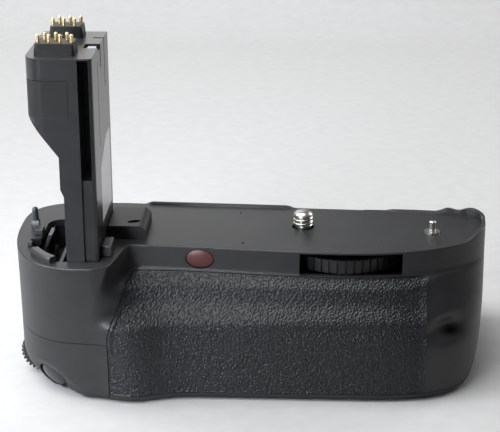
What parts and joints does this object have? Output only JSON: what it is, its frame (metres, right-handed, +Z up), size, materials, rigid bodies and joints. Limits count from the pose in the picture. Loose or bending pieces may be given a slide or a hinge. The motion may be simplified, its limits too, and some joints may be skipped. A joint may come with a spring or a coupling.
{
  "type": "camera battery grip",
  "caption": "Moulded camera battery grip with a tall contact stalk, knurled attachment wheel driving a camera screw, leather-grain front rubber, shutter end and a rear battery magazine.",
  "frame": {"origin": "mouth of the tripod socket in the base, under the attachment screw", "axes": "+X along the body towards the end away from the stalk, the front with the rubber is -Y, +Z up through the attachment screw"},
  "size_m": [0.1504, 0.0838, 0.116],
  "materials": {
    "black_plastic": "fine satin grain",
    "stalk_plastic": "satin",
    "dark_plastic": "matte",
    "gloss_black": "polished",
    "rubber": "leather grain",
    "gold": "polished plating",
    "steel": "turned",
    "brass": "cut teeth",
    "board": "solder mask",
    "battery": "satin",
    "pale_plate": "bare satin",
    "red_window": "dark red, polished",
    "chassis": "bare sheet"
  },
  "bodies": {
    "body": {"main_housing": "black_plastic", "control_cap": "black_plastic", "bottom_cover": "black_plastic", "grip_rubber": "rubber", "filler_block": "stalk_plastic", "corner_block": "stalk_plastic", "door_pocket": "dark_plastic", "pocket_clip": "stalk_plastic", "latch_bar": "stalk_plastic", "switch_post": "stalk_plastic", "stalk_core": "stalk_plastic", "stalk_panel": "dark_plastic", "side_plate": "pale_plate", "front_contact_block": "dark_plastic", "rear_contact_block": "dark_plastic", "locating_pin": "steel", "wheel_axle": "steel", "axle_clip": "steel", "ir_window": "red_window", "ir_sensor": "dark_plastic", "chassis_plate": "chassis", "main_board": "board", "battery_bay": "dark_plastic", "bay_contacts": "gold", "shutter_switch": "dark_plastic", "dial_axle": "steel", "dial_bracket": "dark_plastic", "key_board": "board", "key_switches": "dark_plastic", "tripod_socket": "steel", "base_screws": "steel"},
    "wheel": {"thumbwheel": "dark_plastic"},
    "screw": {"attachment_screw": "steel", "screw_gear": "brass"},
    "shutter": {"shutter_button": "gloss_black"},
    "dial": {"main_dial": "gloss_black"},
    "lock_key": {"lock_button": "gloss_black"},
    "focus_key": {"focus_button": "gloss_black"},
    "point_key": {"point_button": "gloss_black"},
    "switch": {"power_switch": "gloss_black"},
    "magazine": {"magazine_tray": "dark_plastic", "magazine_door": "black_plastic", "battery_left": "battery", "battery_right": "battery", "tray_contacts": "gold"},
    "lock": {"lock_knob": "gloss_black", "lock_bolt": "steel", "handle_pin": "steel"},
    "handle": {"release_handle": "steel"},
    "front_pins": {"front_contact_pins": "gold"},
    "rear_pins": {"rear_contact_pins": "gold"}
  },
  "joints": [
    {"name": "wheel_turn", "type": "hinge", "parent": "body", "child": "wheel", "pos_m": [0.0134, -0.0026, 0.0418], "axis": [0, 0, 1], "continuous": true},
    {"name": "screw_turn", "type": "hinge", "parent": "body", "child": "screw", "pos_m": [0, 0, 0.047], "axis": [0, 0, 1], "continuous": true},
    {"name": "shutter_press", "type": "slide", "parent": "body", "child": "shutter", "axis": [0.5348, 0.6845, 0.4955], "range_m": [0, 0.0009], "stiffness_N_per_m": 1500},
    {"name": "dial_turn", "type": "hinge", "parent": "body", "child": "dial", "pos_m": [-0.084, -0.0105, 0.0078], "axis": [0, 1, 0], "continuous": true},
    {"name": "lock_key_press", "type": "slide", "parent": "body", "child": "lock_key", "axis": [0, -1, 0], "range_m": [0, 0.0009], "stiffness_N_per_m": 1500},
    {"name": "focus_key_press", "type": "slide", "parent": "body", "child": "focus_key", "axis": [0, -1, 0], "range_m": [0, 0.0009], "stiffness_N_per_m": 1500},
    {"name": "point_key_press", "type": "slide", "parent": "body", "child": "point_key", "axis": [0, -1, 0], "range_m": [0, 0.0009], "stiffness_N_per_m": 1500},
    {"name": "switch_turn", "type": "hinge", "parent": "body", "child": "switch", "pos_m": [-0.066, 0.0426, 0.027], "axis": [0, 1, 0], "range_deg": [0, 40]},
    {"name": "magazine_slide", "type": "slide", "parent": "body", "child": "magazine", "axis": [0, 1, 0], "range_m": [0, 0.062]},
    {"name": "lock_turn", "type": "hinge", "parent": "magazine", "child": "lock", "pos_m": [0.0311, 0.0426, 0.01755], "axis": [0, 1, 0], "range_deg": [0, 90]},
    {"name": "handle_flip", "type": "hinge", "parent": "lock", "child": "handle", "pos_m": [0.0311, 0.04185, 0.01755], "axis": [0, 0, 1], "range_deg": [0, 90]},
    {"name": "front_pins_press", "type": "slide", "parent": "body", "child": "front_pins", "axis": [0, 0, -1], "range_m": [0, 0.0014], "stiffness_N_per_m": 600},
    {"name": "rear_pins_press", "type": "slide", "parent": "body", "child": "rear_pins", "axis": [0, 0, -1], "range_m": [0, 0.0014], "stiffness_N_per_m": 600}
  ],
  "couplings": [
    {"joint": "screw_turn", "follows": "wheel_turn", "ratio": 4.5455}
  ]
}
